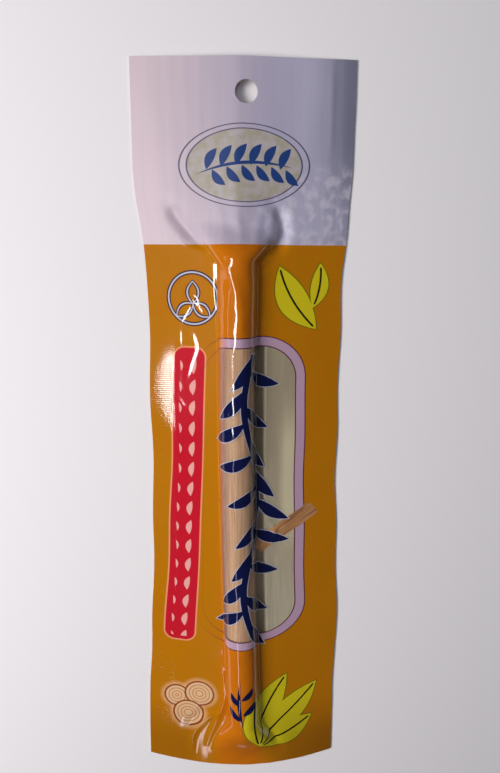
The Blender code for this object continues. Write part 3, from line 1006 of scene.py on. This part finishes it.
# Relief, as shares of the radius, and the saw's marks in millimetres.
ROOT_FLUTES, ROOT_HOLLOWS, ROOT_GRAIN, ROOT_FIBRES = 0.009, 0.012, 0.014, 0.006
ROOT_END_WEAR = 0.03
SAW_MARKS = 0.12


def make_root(materials):
    """The peeled root: a cylinder cut into rings, bowed, fluted and grained, with sawn ends."""
    start_piece()
    bpy.ops.mesh.primitive_cylinder_add(
        vertices=ROOT_SIDES, radius=STICK_RADIUS_TOP, depth=STICK_LENGTH, end_fill_type="NGON",
        location=(0, (STICK_TOP + STICK_BOTTOM) / 2, 0), rotation=(math.radians(90), 0, 0))
    root = bpy.context.object
    root.name = root.data.name = "miswak_root"
    bpy.ops.object.transform_apply(location=True, rotation=True, scale=True)
    bpy.ops.object.mode_set(mode="EDIT")
    select_where(root, "EDGE", lambda edge: abs(edge.verts[0].co.y - edge.verts[1].co.y) > STICK_LENGTH / 2)
    bpy.ops.mesh.subdivide(number_cuts=ROOT_RINGS)
    select_where(root, "FACE", lambda face: abs(face.normal.y) > 0.9)
    for _ in range(ROOT_END_RINGS):
        bpy.ops.mesh.inset(thickness=STICK_RADIUS_TOP / (ROOT_END_RINGS + 1), use_individual=True)
    bpy.ops.mesh.poke()
    bpy.ops.object.mode_set(mode="OBJECT")

    for vertex in root.data.vertices:
        vertex.co = root_point(*vertex.co)
    for material in materials:
        root.data.materials.append(material)
    for face in root.data.polygons:
        face.material_index = 1 if abs(face.normal.y) > 0.8 and end_distance(face.center.y / MM) < 0.6 else 0
    bpy.ops.object.shade_smooth_by_angle(angle=math.radians(50))
    return root


def end_distance(y):
    return min(STICK_TOP - y, y - STICK_BOTTOM)


def root_point(x, y, z):
    """Moves a point of the straight cylinder to its place on the root, and to metres."""
    angle, out = math.atan2(z, x), math.hypot(x, z) / STICK_RADIUS_TOP
    radius = float(stick_radius(y))
    long_y = y / STICK_LENGTH
    flutes = math.sin(2 * angle + 5 * long_y) + 0.6 * math.sin(3 * angle - 8 * long_y)
    lump = noise.noise((math.cos(angle) * 1.2, y * 0.045, math.sin(angle) * 1.2))
    grain = noise.noise((math.cos(angle) * 9, y * 0.07, math.sin(angle) * 9 + 20))
    fibre = noise.noise((math.cos(angle) * 26, y * 0.16, math.sin(angle) * 26 - 40))
    shrink = (ROOT_FLUTES * (1.6 - flutes) + ROOT_HOLLOWS * (0.5 - lump) + ROOT_GRAIN * (0.5 - grain)
              + ROOT_FIBRES * (0.5 - fibre))
    worn = math.exp(-((max(end_distance(y), 0) / 0.5) ** 2)) * ROOT_END_WEAR
    out = out * (1 - max(shrink, 0.0) - (worn if out > 0.97 else 0))
    saw = SAW_MARKS * noise.noise((x * 0.9, z * 2.2, y)) * (1 if end_distance(y) < 0.01 else 0)
    middle_x, middle_z = float(axis_x(y)), STICK_UNDERSIDE_Z + radius
    return ((middle_x + math.cos(angle) * radius * out) * MM, (y + saw * (-1 if y > 0 else 1)) * MM,
            (middle_z + math.sin(angle) * radius * out) * MM)


def make_root_side():
    """Peeled root: long pale fibres, darker streaks and a few flecks of bark."""
    material, tree, shader = new_material("peeled_root")
    point = stretched(tree, put(tree, "TexCoord").outputs["Object"], (1000, 28, 1000))
    fibres = put(tree, "TexNoise", Vector=point, Scale=1.6, Detail=6.0, Roughness=0.65).outputs[0]
    bands = put(tree, "TexNoise", Vector=point, Scale=0.45, Detail=3.0).outputs[0]
    flecks = put(tree, "TexNoise", Vector=point, Scale=3.2, Detail=2.0).outputs[0]
    tone = put(tree, "ValToRGB", Fac=fibres)
    dark, pale = tone.color_ramp.elements
    dark.position, dark.color = 0.3, srgb(214, 152, 104)
    pale.position, pale.color = 0.66, srgb(252, 214, 172)
    colour = blend_colour(tree, remap(tree, bands, 0.5, 0.72, high=0.5), tone.outputs[0], srgb(206, 150, 104))
    colour = blend_colour(tree, remap(tree, flecks, 0.7, 0.78), colour, srgb(110, 66, 36))
    bump = put(tree, "Bump", Height=fibres, Strength=0.7, Distance=0.12 * MM)
    feed(tree, shader.inputs, Base_Color=colour, Roughness=0.6, Normal=bump.outputs[0])
    return material


def make_root_end():
    """Sawn end: pale grain with small dark pores."""
    material, tree, shader = new_material("sawn_root_end")
    place = put(tree, "TexCoord").outputs["Object"]
    pores = put(tree, "TexVoronoi", Vector=place, Scale=2600.0).outputs["Distance"]
    grain = put(tree, "TexNoise", Vector=place, Scale=900.0, Detail=5.0).outputs[0]
    colour = blend_colour(tree, grain, srgb(236, 204, 156), srgb(204, 156, 104))
    colour = blend_colour(tree, remap(tree, pores, 0.25, 0.1, high=0.6), colour, srgb(130, 84, 50))
    bump = put(tree, "Bump", Height=pores, Strength=0.6, Distance=0.1 * MM)
    feed(tree, shader.inputs, Base_Color=colour, Roughness=0.75, Normal=bump.outputs[0])
    return material


# Studio. Lights have their place, aim and size in millimetres, power in watts and colour.
GLOSS_STRIPS = {
    "strip": ((-181, 10, 400), (0, 0, 5), (44, 230), 0.7, (1.0, 0.97, 0.96)),
    "strip_end": ((-178, -280, 400), (0, -60, 5), (24, 300), 0.12, (0.95, 0.88, 1.0)),
    "low_strip": ((-430, 0, 285), (0, 0, 5), (30, 200), 0.05, (1.0, 0.8, 0.85)),
}
SOFT_LIGHTS = {
    "side": ((-340, 20, 365), (0, 0, 5), (220, 300), 2.25, (1.0, 0.94, 0.95)),
    "fill": ((-40, 250, 700), (0, 0, 5), (500, 500), 0.85, (0.86, 0.88, 1.0)),
}
WORLD_COLOUR = (0.75, 0.76, 0.85, 1)
WORLD_STRENGTH = 0.04


def make_camera():
    camera = bpy.data.objects.new("camera", bpy.data.cameras.new("camera"))
    bpy.context.scene.collection.objects.link(camera)
    camera.location = [v * MM for v in CAMERA_PLACE]
    camera.rotation_mode = "ZYX"
    camera.rotation_euler = [math.radians(v) for v in CAMERA_TURN]
    camera.data.lens = CAMERA_LENS
    camera.data.clip_start = 0.01
    bpy.context.scene.camera = camera


def make_light(name, place, aim, size, power, colour):
    """A soft rectangular light, its long side along Y."""
    light = bpy.data.lights.new(name, "AREA")
    light.shape = "RECTANGLE"
    light.size, light.size_y = (side * MM for side in size)
    light.energy = power
    light.color = colour
    lamp = bpy.data.objects.new(name, light)
    bpy.context.scene.collection.objects.link(lamp)
    lamp.location = [v * MM for v in place]
    towards = np.array(aim, float) - np.array(place, float)
    towards /= np.linalg.norm(towards)
    lamp.rotation_euler = (math.asin(towards[1]), -math.atan2(towards[0], -towards[2]), 0)
    return lamp


def make_studio():
    """The floor, a faint light all round, strips for the gloss alone and soft lights for the colours."""
    start_piece()
    bpy.ops.mesh.primitive_plane_add(size=4)
    floor = bpy.context.object
    floor.name = "floor"
    material, tree, shader = new_material("pale_floor")
    feed(tree, shader.inputs, Base_Color=(0.95, 0.95, 0.95, 1), Roughness=0.8)
    floor.data.materials.append(material)
    world = bpy.data.worlds.new("studio")
    bpy.context.scene.world = world
    world.use_nodes = True
    sky = world.node_tree.nodes["Background"].inputs
    feed(world.node_tree, sky, Color=WORLD_COLOUR, Strength=WORLD_STRENGTH)
    for name, light in GLOSS_STRIPS.items():
        make_light(name, *light).visible_diffuse = False
    for name, light in SOFT_LIGHTS.items():
        make_light(name, *light).visible_glossy = False
    bpy.context.scene.view_settings.view_transform = "Standard"


make_camera()
groups = {"rounded_box": make_rounded_box_group(), "leaf": make_leaf_group(),
          "flat_film": make_flat_film_group()}
front_materials = [make_print(groups), make_inside(groups, "front_inside", True)]
back_materials = [make_inside(groups, "back_inside", False), make_back_print(groups)]
front = make_film("front_film_printed", True, front_materials)
back = make_film("back_film_printed", False, back_materials)
root = make_root([make_root_side(), make_root_end()])
for piece, node, slot in ((front, "front_film", "printed_film"), (back, "back_film", "backing_film"),
                          (root, "miswak_stick", "miswak_wood")):
    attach(piece, "root")
    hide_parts(node)
make_studio()
